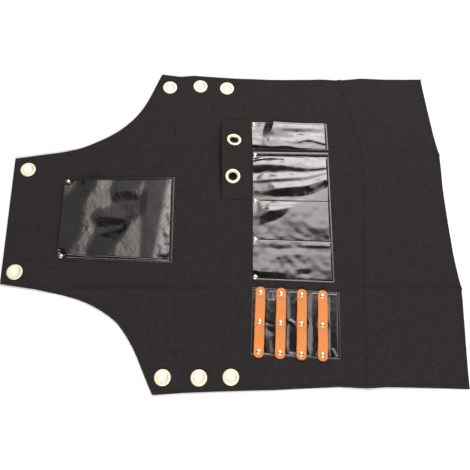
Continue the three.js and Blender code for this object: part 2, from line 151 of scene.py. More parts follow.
NEAR_WAVE = (1.2, -0.5, 1.5, 0, -2.8, 1.5, 4.5, 3, 3, -0.5, 2, -0.2, 0.8)
HEM_AT_V = (-310, -140, -80, -10, 60, 130, 170, 310)
HEM_AT_U = (803.4, 815, 810, 809.2, 808.6, 811.6, 806, 796.5)
HEM_KINK = 14


def half_width(u):
    """Distance from the centre line to the edge, u millimetres below the top of the bib."""
    bib_slope, hip_slope = math.tan(ARMHOLE_BIB_ANGLE), math.tan(ARMHOLE_HIP_ANGLE)
    corner = (HIP_HALF - BIB_HALF - HIP_AT * hip_slope) / (bib_slope - hip_slope)
    tangent = ARMHOLE_RADIUS * math.tan((ARMHOLE_HIP_ANGLE - ARMHOLE_BIB_ANGLE) / 2)
    arc_from = corner - tangent * math.cos(ARMHOLE_BIB_ANGLE)
    arc_to = corner + tangent * math.cos(ARMHOLE_HIP_ANGLE)
    centre_u = arc_from - ARMHOLE_RADIUS * math.sin(ARMHOLE_BIB_ANGLE)
    centre_v = BIB_HALF + arc_from * bib_slope + ARMHOLE_RADIUS * math.cos(ARMHOLE_BIB_ANGLE)
    arc = centre_v - np.sqrt(np.maximum(ARMHOLE_RADIUS**2 - (u - centre_u) ** 2, 0))
    down = np.clip((u - HIP_AT) / (BODY_LENGTH - HIP_AT), 0, 1)
    side = HIP_HALF - 4 * SIDE_BOW * down * (1 - down)
    stretches = [u < arc_from, u < arc_to, u < HIP_AT]
    return np.select(stretches, [BIB_HALF + u * bib_slope, arc, HIP_HALF - (HIP_AT - u) * hip_slope], side)


def near_edge(u):
    """The cut edge's distance from the centre line. It has gone wavy in wear, and so has the far one."""
    return half_width(u) + np.interp(u, NEAR_WAVE_U, NEAR_WAVE)


def far_edge(u):
    return half_width(u) + np.interp(u, FAR_WAVE_U, FAR_WAVE)


def hem_line(v):
    """Distance of the hem from the top of the bib. The packing folds leave soft kinks in it."""
    shifts = (-HEM_KINK, 0, HEM_KINK)
    return sum(np.interp(v + shift, HEM_AT_V, HEM_AT_U) for shift in shifts) / len(shifts)


SLANT_STEP = 9


def edge_slant(u):
    """How much longer a step across the apron is than a step straight in from its edge."""
    rise = half_width(u + SLANT_STEP) - half_width(np.maximum(u - SLANT_STEP, 0))
    return np.sqrt(1 + (rise / (2 * SLANT_STEP)) ** 2)


NEAR_FOLD, FAR_FOLD = -137, 132
LENGTHWISE_FOLDS = [(NEAR_FOLD, 150, 4.6), (FAR_FOLD, 110, 3.6)]
WAIST_FOLD_V, WAIST_FOLD_U, WAIST_FOLD_HEIGHT = (-330, 330), (309, 297), 2.6
THIGH_FOLD_V, THIGH_FOLD_U, THIGH_FOLD_HEIGHT = (-330, NEAR_FOLD, FAR_FOLD, 330), (628, 641, 664, 620), 3.2
CROSSWISE_FOLDS = [
    (WAIST_FOLD_V, WAIST_FOLD_U, WAIST_FOLD_HEIGHT), (THIGH_FOLD_V, THIGH_FOLD_U, THIGH_FOLD_HEIGHT),
]
FOLD_STEEP, FOLD_GENTLE, FOLD_START = 6, 17, 60
WAVE_HEIGHT, WAVE_DOWN, WAVE_ACROSS = 1.1, 290, 270
CANVAS_BUMPS = [(0.5, 55, 1), (0.2, 18, 2)]
SEATED_BUMPS = 0.3
SEATS = [
    (-20, 62, -140, 140), (236, 450, 236, 330), (236, 450, -330, -236),
    (86, 306, -92, 100), (376, 606, -134, 218), (424, 604, -278, -122),
]
SEAT_FADE = 40


def fade_out(distance, reach):
    share = np.clip(distance / reach, 0, 1)
    return 1 - share * share * (3 - 2 * share)


def outside(value, low, high):
    return np.maximum(np.maximum(low - value, value - high), 0)


def rumple(u, v, size, seed):
    """Soft unevenness from -1 to 1, with bumps about as wide as the given size."""
    points = np.stack(np.broadcast_arrays(u / size, v / size, float(seed)), axis=-1)
    flat = points.reshape(-1, 3)
    return np.array([noise.noise(Vector(point)) for point in flat]).reshape(points.shape[:-1])


def bumps(u, v, rows):
    """Unevenness in millimetres, from rows that each give the bumps' height, their width and a seed."""
    return sum(height * rumple(u, v, size, seed) for height, size, seed in rows)


def fold_ridge(past):
    """A packing fold's height as a share, from the distance past its crest: it is steep on one side."""
    return np.clip(1 - np.where(past < 0, -past / FOLD_STEEP, past / FOLD_GENTLE), 0, 1) ** 2


def canvas_height(u, v):
    """Height of the canvas above the floor: level under what is sewn on it, folded and wavy between."""
    seat = 0
    for u_low, u_high, v_low, v_high in SEATS:
        beside = fade_out(outside(v, v_low, v_high), SEAT_FADE)
        seat = np.maximum(seat, fade_out(outside(u, u_low, u_high), SEAT_FADE) * beside)
    ridge = 0
    for fold_v, fold_from, height in LENGTHWISE_FOLDS:
        started = fade_out(outside(u, fold_from, BODY_LENGTH), FOLD_START)
        ridge = np.maximum(ridge, height * fold_ridge(v - fold_v) * started)
    for fold_v, fold_u, height in CROSSWISE_FOLDS:
        ridge = np.maximum(ridge, height * fold_ridge(u - np.interp(v, fold_v, fold_u)))
    wave = WAVE_HEIGHT * (1 + np.sin(2 * np.pi * u / WAVE_DOWN) * np.cos(2 * np.pi * v / WAVE_ACROSS))
    uneven = bumps(u, v, CANVAS_BUMPS)
    level = SEAT_HEIGHT + SEATED_BUMPS * uneven
    return np.maximum(seat * level + (1 - seat) * (ridge + wave + uneven), 0)


HEM_WIDTH, HEM_RISE, HEM_STEP, HEM_SEAM = 6, 0.35, 0.3, 1.6


def hem_rise(u, v):
    """The turned edge is thicker by a layer of cloth, which shows as a low step."""
    from_side = np.minimum(far_edge(u) - v, near_edge(u) + v) / edge_slant(u)
    inset = np.minimum(from_side, np.minimum(u, hem_line(v) - u))
    return HEM_RISE * np.clip((HEM_WIDTH - inset) / (2 * HEM_STEP) + 0.5, 0, 1)


def crowded(counts, pull=0.45):
    """Grid lines between knots, with the given steps in each stretch, closer together near the knots."""
    lines = [np.zeros(1)]
    for stretch, count in enumerate(counts):
        share = np.arange(1, count + 1) / count
        lines.append(stretch + share - pull * np.sin(2 * np.pi * share) / (2 * np.pi))
    return np.concatenate(lines)


def spread(knots, lines):
    """Places between knots: line 0 is at the first knot, line 1 at the second, and so on."""
    steps = [(b - a) * np.clip(lines - k, 0, 1) for k, (a, b) in enumerate(zip(knots, knots[1:]))]
    return knots[0] + sum(steps)


def body_columns(v):
    hem = hem_line(v)
    waist, thigh = np.interp(v, WAIST_FOLD_V, WAIST_FOLD_U), np.interp(v, THIGH_FOLD_V, THIGH_FOLD_U)
    step_out, step_in = HEM_WIDTH - HEM_STEP, HEM_WIDTH + HEM_STEP
    return [0 * v, step_out + 0 * v, step_in + 0 * v, waist, thigh, hem - step_in, hem - step_out, hem]


FOLD_LINE_AT_MOST = 0.86


def body_rows(u):
    near, far, slant = near_edge(u), far_edge(u), edge_slant(u)
    step_out, step_in = (HEM_WIDTH - HEM_STEP) * slant, (HEM_WIDTH + HEM_STEP) * slant
    near_fold = np.maximum(NEAR_FOLD, -FOLD_LINE_AT_MOST * near)
    far_fold = np.minimum(FAR_FOLD, FOLD_LINE_AT_MOST * far)
    return [-near, step_out - near, step_in - near, near_fold, far_fold, far - step_in, far - step_out, far]


def closed_sheet(name, top, thickness, finishes, cut=None):
    """A sheet from a grid of points on its face, rounded over at its edges. Cut squares of the grid are
    left open. The rounded edge takes the second finish where there is one."""
    rows, columns = top.shape[:2]
    at = np.arange(rows * columns).reshape(rows, columns)
    rim = np.concatenate([at[0, :-1], at[:-1, -1], at[-1, :0:-1], at[:0:-1, 0]])
    face_points = top.reshape(-1, 3)
    edge = face_points[rim]
    along = np.roll(edge, -1, axis=0) - np.roll(edge, 1, axis=0)
    outward = np.stack([along[:, 1], -along[:, 0], np.zeros(len(rim))], axis=1)
    outward /= np.linalg.norm(outward, axis=1, keepdims=True)
    radius = thickness / 2
    layers, loops = [face_points], [rim]
    for turn in np.radians((35, 90, 145)):
        loops.append(sum(map(len, layers)) + np.arange(len(rim)))
        down = np.array((0, 0, radius * (1 - math.cos(turn))))
        layers.append(edge + outward * radius * math.sin(turn) - down)
    underside = sum(map(len, layers))
    loops.append(underside + rim)
    layers.append(face_points - (0, 0, thickness))

    squares = np.stack([at[:-1, :-1], at[:-1, 1:], at[1:, 1:], at[1:, :-1]], axis=-1)
    kept = np.ones(squares.shape[:2], bool) if cut is None else ~cut
    faces = squares[kept].tolist() + (squares[kept][:, ::-1] + underside).tolist()
    for row, column in np.argwhere(~kept):
        beside = ((row - 1, column), (row, column + 1), (row + 1, column), (row, column - 1))
        for side, neighbour in enumerate(beside):
            if kept[neighbour]:
                a, b = squares[row, column, side], squares[row, column, (side + 1) % 4]
                faces.append([int(b), int(b + underside), int(a + underside), int(a)])
    first_edge_face = len(faces)
    for upper, lower in zip(loops, loops[1:]):
        faces += np.stack([upper, lower, np.roll(lower, -1), np.roll(upper, -1)], axis=1).tolist()
    second = first_edge_face if len(finishes) > 1 else None
    return make_piece(name, np.concatenate(layers), faces, finishes, second)


HOLE_REACH = 1.5


def open_hole(top, u, v, radius):
    """Marks the grid squares inside a round hole, and draws the grid in to the hole's edge."""
    place = np.array((u - BIB_TO_MIDDLE, v))
    away = top[:, :, :2] - place
    distance = np.linalg.norm(away, axis=2)
    inside = distance < radius + HOLE_REACH
    cut = inside[:-1, :-1] | inside[1:, :-1] | inside[:-1, 1:] | inside[1:, 1:]
    touched = np.zeros(distance.shape, bool)
    for rows, columns in [(slice(0, -1), slice(0, -1)), (slice(1, None), slice(0, -1)),
                          (slice(0, -1), slice(1, None)), (slice(1, None), slice(1, None))]:
        touched[rows, columns] |= cut
    border = touched & ~inside
    top[border, :2] = place + away[border] / distance[border][:, None] * radius
    return cut


def texture(finish, kind, **inputs):
    """A texture node that is laid out in the apron's own space."""
    nodes, links = finish.node_tree.nodes, finish.node_tree.links
    made = nodes.new("ShaderNodeTex" + kind)
    for socket, value in inputs.items():
        made.inputs[socket].default_value = value
    links.new(nodes.new("ShaderNodeTexCoord").outputs["Object"], made.inputs["Vector"])
    return made


def mottle(finish, socket, source, *stops):
    """Drives a socket of the shader from a texture, through a ramp of (position, value) stops."""
    nodes, links = finish.node_tree.nodes, finish.node_tree.links
    ramp = nodes.new("ShaderNodeValToRGB")
    elements = ramp.color_ramp.elements
    while len(elements) < len(stops):
        elements.new(0.5)
    for element, (position, value) in zip(elements, stops):
        element.position = position
        element.color = (*value, 1) if hasattr(value, "__len__") else (value, value, value, 1)
    links.new(source, ramp.inputs["Fac"])
    links.new(ramp.outputs["Color"], nodes["Principled BSDF"].inputs[socket])


def relief(finish, source, depth, strength=1.0):
    """Adds fine relief of the given depth in millimetres on top of any that is there."""
    nodes, links = finish.node_tree.nodes, finish.node_tree.links
    shader = nodes["Principled BSDF"]
    bump = nodes.new("ShaderNodeBump")
    bump.inputs["Distance"].default_value = depth * MM
    bump.inputs["Strength"].default_value = strength
    links.new(source, bump.inputs["Height"])
    if shader.inputs["Normal"].is_linked:
        links.new(shader.inputs["Normal"].links[0].from_socket, bump.inputs["Normal"])
    links.new(bump.outputs["Normal"], shader.inputs["Normal"])


def weave(finish, pitch):
    """Plain weave: rows of thread across each other, each pitch millimetres wide."""
    nodes, links = finish.node_tree.nodes, finish.node_tree.links
    crossing = nodes.new("ShaderNodeMath")
    crossing.operation = "MULTIPLY"
    for side, direction in enumerate("XY"):
        threads = texture(finish, "Wave", Scale=math.pi / (10 * pitch * MM), Distortion=0.6)
        threads.bands_direction = direction
        links.new(threads.outputs["Fac"], crossing.inputs[side])
    return crossing.outputs["Value"]


black_canvas = new_finish("black_canvas", Roughness=0.92, Specular_IOR_Level=0.25, Sheen_Weight=0.04)
cloudy = texture(black_canvas, "Noise", Scale=170, Detail=5, Roughness=0.7)
mottle(black_canvas, "Base Color", cloudy.outputs["Fac"],
       (0.3, (0.0112, 0.0099, 0.0104)), (0.7, (0.0221, 0.0193, 0.0203)))
relief(black_canvas, weave(black_canvas, 0.9), depth=0.12, strength=0.5)

ROW_COUNTS, COLUMN_COUNTS = (3, 1, 44, 64, 44, 1, 3), (3, 1, 70, 80, 36, 1, 3)
rows, columns = crowded(ROW_COUNTS)[:, None], crowded(COLUMN_COUNTS)[None, :]
u = spread(body_columns(np.zeros(rows.shape)), columns)
for settle in range(3):
    v = spread(body_rows(u), rows)
    u = spread(body_columns(v), columns)
body_top = np.stack([u - BIB_TO_MIDDLE, v, canvas_height(u, v) + hem_rise(u, v) + CANVAS], axis=-1)

EYELET_BARREL, PUNCHED_ROOM = 9.2, 0.4
EDGE_EYELETS = {
    "eyelet_bib_far": (25.5, 97), "eyelet_bib_near": (22.5, -102.5),
    "eyelet_hip_far_1": (285.5, 281), "eyelet_hip_far_2": (346, 284.5),
    "eyelet_hip_far_3": (399, 280.5), "eyelet_hip_near_1": (285, -286.5),
    "eyelet_hip_near_2": (345.5, -287.5), "eyelet_hip_near_3": (399, -287),
}
cut = np.zeros((body_top.shape[0] - 1, body_top.shape[1] - 1), bool)
for hole_u, hole_v in EDGE_EYELETS.values():
    cut |= open_hole(body_top, hole_u, hole_v, EYELET_BARREL + PUNCHED_ROOM)
canvas_body = closed_sheet("canvas_body_cloth", body_top, CANVAS, [black_canvas], cut)


def sew(name, paths, finish, pitch=3.2, thread=0.75):
    """Rows of stitches along paths: each stitch is a short thread that dips into the cloth at both ends."""
    sides = 6
    stations = np.array([(-0.36, 0.3), (-0.22, 1.0), (0.22, 1.0), (0.36, 0.3)])
    around = np.linspace(0, 2 * np.pi, sides, endpoint=False)
    shape = np.array([
        (along * pitch, swell * thread / 2 * math.cos(turn), swell * thread * 0.45 * math.sin(turn))
        for along, swell in stations for turn in around
    ])
    ring = np.arange(sides)
    last_ring = sides * (len(stations) - 1)
    walls = [
        (start + i, start + (i + 1) % sides, start + sides + (i + 1) % sides, start + sides + i)
        for start in range(0, last_ring, sides) for i in ring
    ]
    points, faces = [], []
    for path in paths:
        steps = np.linalg.norm(np.diff(path, axis=0), axis=1)
        travelled = np.concatenate([[0], np.cumsum(steps)])
        count = max(1, round(travelled[-1] / pitch))
        middles = (np.arange(count) + 0.5) * travelled[-1] / count
        place = [
            np.stack([np.interp(middles + shift, travelled, path[:, axis]) for axis in range(3)], axis=1)
            for shift in (-0.3 * pitch, 0, 0.3 * pitch)
        ]
        for before, here, after in zip(*place):
            ahead = (after - before) / np.linalg.norm(after - before)
            across = np.cross((0, 0, 1), ahead)
            across /= np.linalg.norm(across)
            start = len(points) * len(shape)
            points.append(here + shape @ np.stack([ahead, across, np.cross(ahead, across)]))
            faces += [tuple(start + i for i in wall) for wall in walls]
            faces += [tuple(start + ring[::-1]), tuple(start + last_ring + ring)]
    return make_piece(name, np.concatenate(points), [tuple(map(int, face)) for face in faces], [finish])


def outline(inset):
    """The apron's edge, or a line at the given distance inside it, all the way round."""
    step, side_end, hem_points = 3, 799, 160
    below_hip = np.arange(HIP_AT + step, side_end, step)
    side_u = np.concatenate([np.arange(0, HIP_AT, step), [HIP_AT], below_hip])
    hem_v = np.linspace(-HIP_HALF, HIP_HALF, hem_points)
    near = np.stack([side_u, -near_edge(side_u)], axis=1)
    hem = np.stack([hem_line(hem_v), hem_v], axis=1)
    far = np.stack([side_u, far_edge(side_u)], axis=1)[::-1]
    edge = np.concatenate([near, hem, far])
    ahead = np.roll(edge, -1, axis=0) - edge
    normal = np.stack([-ahead[:, 1], ahead[:, 0]], axis=1) / np.linalg.norm(ahead, axis=1, keepdims=True)
    mitre = normal + np.roll(normal, 1, axis=0)
    mitre *= 2 / np.maximum(np.sum(mitre**2, axis=1, keepdims=True), 1)
    moved = edge + inset * mitre
    return np.concatenate([moved, moved[:1]])


black_thread = new_finish("black_thread", Base_Color=(0.012, 0.011, 0.011, 1), Specular_IOR_Level=0.3)
twist = texture(black_thread, "Wave", Scale=420, Distortion=2)
mottle(black_thread, "Roughness", twist.outputs["Fac"], (0, 0.5), (1, 0.75))
seam = outline(HEM_WIDTH - HEM_SEAM)
seam_height = canvas_height(seam[:, 0], seam[:, 1]) + HEM_RISE + CANVAS
hem_path = np.stack([seam[:, 0] - BIB_TO_MIDDLE, seam[:, 1], seam_height], axis=1)
hem_stitches = sew("hem_stitches", [hem_path], black_thread)

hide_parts("canvas_body")
for piece in (canvas_body, hem_stitches):
    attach(piece, "root")


# Edge eyelets: rings pressed from thin sheet and plated pale gold. Each has a broad rounded flange on the
# front and a barrel that goes through the canvas and is rolled over a washer on the back.
EYELET_HOLE = 8
EYELET_FLARE = 1.0
EYELET_FLANGE = 14
EYELET_BACK = 12.8
EYELET_FRONT = CANVAS + 0.1
EYELET_LIP = EYELET_FRONT + 0.6
EYELET_TOP = 3.2
EYELET_FULLNESS = 0.75

pale_gold = new_finish("pale_gold", Metallic=1.0)
handled = texture(pale_gold, "Noise", Scale=160, Detail=4)
mottle(pale_gold, "Base Color", handled.outputs["Fac"],
       (0.42, (0.98, 0.84, 0.6)), (0.68, (0.98, 0.94, 0.84)))
mottle(pale_gold, "Roughness", handled.outputs["Fac"], (0.3, 0.62), (0.75, 0.76))


def lathe(name, profile, sides, finish):
    """A piece turned about its own axis from (radius, height) points. Points that come back to the first
    make a ring, and any others are closed at both ends."""
    turn = np.linspace(0, 2 * np.pi, sides, endpoint=False)
    points = np.concatenate([
        np.stack([radius * np.cos(turn), radius * np.sin(turn), np.full(sides, height)], axis=1)
        for radius, height in profile
    ])
    faces = []
    closed = np.allclose(profile[0], profile[-1])
    for ring in range(len(profile) - 1):
        upper = (ring + 1) % (len(profile) - 1) if closed else ring + 1
        for i in range(sides):
            j = (i + 1) % sides
            faces.append((ring * sides + i, ring * sides + j, upper * sides + j, upper * sides + i))
    if closed:
        points = points[:-sides]
    else:
        faces += [tuple(range(sides))[::-1], tuple(range(len(points) - sides, len(points)))]
    return make_piece(name, points, faces, [finish])


def eyelet_ring(name):
    """The hole flares open towards the front, where the sheet rolls over into the flange."""
    arch = np.linspace(0, np.pi, 15)
    inner = EYELET_HOLE + EYELET_FLARE
    middle, half = (EYELET_FLANGE + inner) / 2, (EYELET_FLANGE - inner) / 2
    flange = [
        (middle + half * np.sign(np.cos(turn)) * abs(np.cos(turn)) ** EYELET_FULLNESS,
         EYELET_LIP + (EYELET_TOP - EYELET_LIP) * np.sin(turn) ** EYELET_FULLNESS)
        for turn in arch
    ]
    back = [
        (EYELET_HOLE, 0.4), (EYELET_HOLE, -0.9), (EYELET_HOLE + 0.4, -1.3),
        (EYELET_BACK - 0.6, -1.3), (EYELET_BACK, -0.9), (EYELET_BACK - 0.2, -0.3),
        (EYELET_BARREL, -0.2), (EYELET_BARREL, EYELET_FRONT), (EYELET_FLANGE - 0.2, EYELET_FRONT),
    ]
    profile = back + flange
    return lathe(name, profile + profile[:1], 48, pale_gold)


for node, (eyelet_u, eyelet_v) in EDGE_EYELETS.items():
    eyelet = eyelet_ring(node + "_ring")
    eyelet.location = Vector((eyelet_u - BIB_TO_MIDDLE, eyelet_v, SEAT_HEIGHT)) * MM
    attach(eyelet, "root")
    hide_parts(node)


# Chest pocket: one panel of soft, lacquered black leather, sewn down on three sides and open towards the
# bib. The leather has been folded away, and creases and dents are left in it.
LEATHER, LAYER_GAP = 1.2, 0.1
LEATHER_SEAT = CANVAS_TOP + LAYER_GAP
LEATHER_GRID = 1.5
SEAM_INSET, SEAM_START, SEAM_STEP, STITCH_LIFT = 3.2, 11, 2, 0.1
GROOVE_DEPTH, GROOVE_WIDTH = 0.25, 0.6
BEAD_AT, BEAD_HEIGHT, BEAD_WIDTH = 1.3, 0.1, 0.7
RIVET_INSET, RIVET_SEAT = 4.6, 4

glossy_leather = new_finish("glossy_leather", IOR=1.6)
dusty = texture(glossy_leather, "Noise", Scale=70, Detail=6, Roughness=0.6)
mottle(glossy_leather, "Base Color", dusty.outputs["Fac"],
       (0.35, (0.0028, 0.0026, 0.0028)), (0.75, (0.005, 0.0046, 0.0046)))
mottle(glossy_leather, "Roughness", dusty.outputs["Fac"], (0.3, 0.12), (0.75, 0.21))
dents = texture(glossy_leather, "Noise", Scale=60, Detail=5)
relief(glossy_leather, dents.outputs["Fac"], depth=0.3, strength=0.3)
wrinkles = texture(glossy_leather, "Noise", Scale=280, Detail=3)
relief(glossy_leather, wrinkles.outputs["Fac"], depth=0.1, strength=0.5)
grain = texture(glossy_leather, "Voronoi", Scale=850)
relief(glossy_leather, grain.outputs["Distance"], depth=0.05, strength=0.3)
cut_edge = new_finish("cut_edge", Base_Color=(0.03, 0.029, 0.03, 1), Roughness=0.45)


def leather_lines(length):
    """Grid lines across a panel, close together at its sewn edges."""
    edge = np.array((0.6, 1.1, 1.7, 2.4, 3.2, 4.0, 5.0, 6.2, 7.6))
    count = round((length - 2 * edge[-1]) / LEATHER_GRID) + 1
    inner = np.linspace(edge[-1], length - edge[-1], count)[1:-1]
    return np.concatenate([edge, inner, (length - edge)[::-1]])


def panel_grid(panel):
    """The grid lines down a panel, and those across it from its middle line."""
    across = leather_lines(panel["width"]) - panel["width"] / 2
    return leather_lines(panel["length"])[None, :], across[:, None]


def seam_groove(inset):
    """The thread pulls a narrow groove into the leather, and the edge outside it stands up as a bead."""
    groove = -GROOVE_DEPTH * np.exp(-(((inset - SEAM_INSET) / GROOVE_WIDTH) ** 2))
    return groove + BEAD_HEIGHT * np.exp(-(((inset - BEAD_AT) / BEAD_WIDTH) ** 2))


def tucked(inset, reach):
    """0 at a seam, rising to 1 where the leather is free of it."""
    share = np.clip((inset - SEAM_INSET) / reach, 0, 1)
    return share * (2 - share)


def held_down(a, b, rivets, reach=13):
    """0 at each rivet, rising to 1 where the leather is free of it."""
    free = 1.0
    for rivet_a, rivet_b in rivets:
        free = free * (1 - fade_out(np.hypot(a - rivet_a, b - rivet_b) - RIVET_SEAT, reach))
    return free


def on_panel(panel, a, b):
    """From a distance below a panel's mouth, and one from its middle line at the bottom's width, to the
    part's own frame. A panel may narrow towards its mouth."""
    width = panel["mouth"] + (panel["width"] - panel["mouth"]) * a / panel["length"]
    down, across, turn = a - panel["length"] / 2, b * width / panel["width"], math.radians(panel["turn"])
    x = panel["u"] - BIB_TO_MIDDLE + down * math.cos(turn) - across * math.sin(turn)
    return x, panel["v"] + down * math.sin(turn) + across * math.cos(turn)


def leather_panel(name, panel, a, b, rise):
    x, y = np.broadcast_arrays(*on_panel(panel, a, b))
    top = np.stack([x, y, LEATHER_SEAT + LEATHER + rise], axis=-1)
    return closed_sheet(name, top, LEATHER, [glossy_leather, cut_edge])


CHEST = {"u": 196.5, "v": -0.9, "turn": -0.5, "length": 202, "mouth": 156, "width": 170}
CHEST_RIVETS = {"near": (RIVET_INSET, -79.3), "far": (RIVET_INSET, 79.3)}
FOLD_ROUNDING = [(0, 0), (5, 0), (-5, 0), (0, 5), (0, -5), (3, 3), (-3, 3), (3, -3), (-3, -3)]
CHEST_KNEE_A, CHEST_KNEE_TILT, CHEST_FALL, CHEST_SLACK = 180, 0.14, 0.115, 1.4
KNEE_ROUNDING, KNEE_FADE = (-4, -2, 0, 2, 4), 8
CHEST_ROLL, CHEST_HOLD = 3, 8
RAGGED_TO, RAGGED_FADE = 136, 10
WANDER_DOWN = [(3.5, 24, 13), (0.6, 6, 15)]
WANDER_ACROSS = [(3.5, 24, 14), (0.6, 6, 16)]
CHEST_BUMPS = [(0.25, 26, 3), (0.08, 7, 4)]
SWIRL_HEIGHT, SWIRL_SIZE, SWIRL_SEED = 0.9, 12, 17
CALM = 0.3
CHEST_FOLDS = [
    [(0, 85, 4.4), (0, 70, 4.6), (0, 50, 3.8), (0, 30, 2.0), (0, 0, 2.0), (0, -40, 2.2), (0, -85, 2.2)],
    [(27, 85, 0.8), (25, 70, 1.0), (11, 44, 2.0)],
    [(57, 85, 5.3), (50, 60, 5.4), (42, 40, 5.6), (35, 20, 4.6), (35, 0, 3.4), (38, -27, 2.2)],
    [(93, 85, 1.0), (86, 60, 1.0), (90, 42, -0.5), (66, 20, 0.8), (56, 0, 0.9), (50, -26, 0.6)],
    [(98, 53, 1.4), (121, 58, 1.2), (146, 62, 0.5)],
    [(84, 28, -1.2), (105, 29, -2.8), (126, 33, -2.7), (146, 38, -2.2)],
    [(62, 3, 1.3), (90, 3, 0.6), (110, 2, 0.3), (120, 3, -0.4)],
    [(59, -24, -1.3), (90, -23, -2.3), (110, -19, -2.1)],
    [(146, 0, 0), (134, -2, 0.7), (121, -5, 1.7), (115, -30, 2.6), (103, -52, 3.5), (90, -80, 4.6),
     (88, -85, 4.7)],
    [(40, -42, 3.4), (24, -57, 5.0), (9, -85, 6.4)],
    [(62, -40, 0.4), (54, -60, 1.0), (54, -85, 0.8)],
    [(146, 85, 0.2), (146, 62, 0.5), (146, 38, -2.2), (146, 0, 0), (146, -85, 0)],
    [(149, 85, 0.2), (149, -85, 0.2)],
    [(202, 85, 0.2), (202, -85, 0.2)],
]


def between_folds(a, b, folds):
    """Height of leather that is stretched straight between folds, each a row of (a, b, height) points."""
    points = [point for fold in folds for point in fold]
    starts = np.cumsum([0] + [len(fold) for fold in folds])
    steps = []
    for start, fold in zip(starts, folds):
        steps += [(int(start) + k, int(start) + k + 1) for k in range(len(fold) - 1)]
    places = [Vector(point[:2]) for point in points]
    _, _, facets, given, _, _ = delaunay_2d_cdt(places, steps, [], 0, 0.01)
    height = np.zeros(np.broadcast(a, b).shape)
    for facet in facets:
        (a0, b0, h0), (a1, b1, h1), (a2, b2, h2) = [points[given[corner][0]] for corner in facet]
        double_area = (a1 - a0) * (b2 - b0) - (a2 - a0) * (b1 - b0)
        share_1 = ((a - a0) * (b2 - b0) - (a2 - a0) * (b - b0)) / double_area
        share_2 = ((a1 - a0) * (b - b0) - (a - a0) * (b1 - b0)) / double_area
        inside = (share_1 >= 0) & (share_2 >= 0) & (share_1 + share_2 <= 1)
        height = np.where(inside, h0 + share_1 * (h1 - h0) + share_2 * (h2 - h0), height)
    return height


def chest_height(a, b):
    """Flat facets between folds, then a smooth band that falls away past a slanting knee to the bottom."""
    length, side = CHEST["length"], CHEST["width"] / 2
    inset = np.minimum(side - np.abs(b), length - a)
    knee = CHEST_KNEE_A + CHEST_KNEE_TILT * b
    past_knee = sum(np.maximum(a + shift, knee) for shift in KNEE_ROUNDING) / len(KNEE_ROUNDING)
    band = CHEST_FALL * (length - SEAM_INSET - past_knee) + CHEST_SLACK
    ragged = fade_out(a - RAGGED_TO, RAGGED_FADE)
    wander_a, wander_b = ragged * bumps(a, b, WANDER_DOWN), ragged * bumps(a, b, WANDER_ACROSS)
    crumple = 0
    for round_a, round_b in FOLD_ROUNDING:
        at_a = np.clip(a + wander_a + round_a, 0, length)
        at_b = np.clip(b + wander_b + round_b, -side, side)
        crumple = crumple + between_folds(at_a, at_b, CHEST_FOLDS) / len(FOLD_ROUNDING)
    past = np.clip((a - knee) / KNEE_FADE, 0, 1)
    uneven = bumps(a, b, [*CHEST_BUMPS, (SWIRL_HEIGHT * past, SWIRL_SIZE, SWIRL_SEED)])
    loose = band + crumple + uneven * (CALM + (1 - CALM) * np.maximum(ragged, past))
    free = held_down(a, b, CHEST_RIVETS.values(), reach=CHEST_HOLD)
    return free * loose * tucked(inset, CHEST_ROLL) + seam_groove(inset)


a, b = panel_grid(CHEST)
chest_pocket = leather_panel("chest_pocket_leather", CHEST, a, b, chest_height(a, b))


def seam_path(panel, points, height):
    """A seam's stitches, along straight stretches between points on a panel."""
    points = np.array(points, float)
    steps = [
        np.linspace(p, q, max(2, round(np.linalg.norm(q - p) / SEAM_STEP)), endpoint=False)
        for p, q in zip(points, points[1:])
    ]
    a, b = np.concatenate([*steps, points[-1:]]).T
    x, y = on_panel(panel, a, b)
    return np.stack([x, y, LEATHER_SEAT + LEATHER + height(a, b) + STITCH_LIFT], axis=1)


def three_sides(panel):
    side, bottom = panel["width"] / 2 - SEAM_INSET, panel["length"] - SEAM_INSET
    return [(SEAM_START, -side), (bottom, -side), (bottom, side), (SEAM_START, side)]


chest_seam = seam_path(CHEST, three_sides(CHEST), chest_height)
chest_stitches = sew("chest_pocket_stitches", [chest_seam], black_thread)
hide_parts("chest_pocket")
for piece in (chest_pocket, chest_stitches):
    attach(piece, "root")


# Narrow pocket: a slim panel of the same leather, sewn on beside the three-part pocket for a comb or
# scissors. It rises gently from its far seam and rolls over sharply into the near one.
NARROW = {"u": 520.2, "v": 172.9, "turn": -0.7, "length": 148.8, "mouth": 60, "width": 60}
NARROW_RIVETS = {"far": (RIVET_INSET, 25)}
NARROW_STATIONS = (0, 20, 42, 70, 86, 108, 142)
NARROW_LINES = [
    ((27, 27, 27, 27, 27, 27, 27), (0.3, 0.3, 0.3, 0.3, 0.3, 0.3, 0.3)),
    ((20, 20, 20, 22.5, 23, 22.5, 20), (0.5, 0.5, 0.5, 0.85, 0.87, 0.85, 0.7)),
    ((16, 16, 16, 17.5, 17.5, 17.5, 16), (0.7, 0.7, 0.7, 1.5, 1.62, 1.55, 0.8)),
    ((9, 9, 9, 8.5, 8.5, 8.5, 9), (0.8, 0.8, 0.8, 0.2, -0.05, 0.05, 0.9)),
    ((0, 0, 0, 0, 0, 0, 0), (1.1, 1.1, 1.1, 1.0, 1.0, 1.5, 1.2)),
    ((-8, -8, -8, -11, -16, -5.5, -16.5), (1.5, 1.5, 1.5, 1.7, 2.1, 2.5, 2.1)),
    ((-12, -12, -12, -15, -21, -11, -21.5), (1.7, 1.7, 1.7, 1.8, 1.3, 1.2, 0.9)),
    ((-21, -22, -25, -21, -26.5, -28, -28.5), (2.3, 2.2, 1.7, 2.4, 1.5, 1.4, 1.2)),
    ((-29.6, -29.6, -29.6, -29.6, -29.6, -29.6, -29.6), (0, 0, 0, 0, 0, 0, 0)),
]
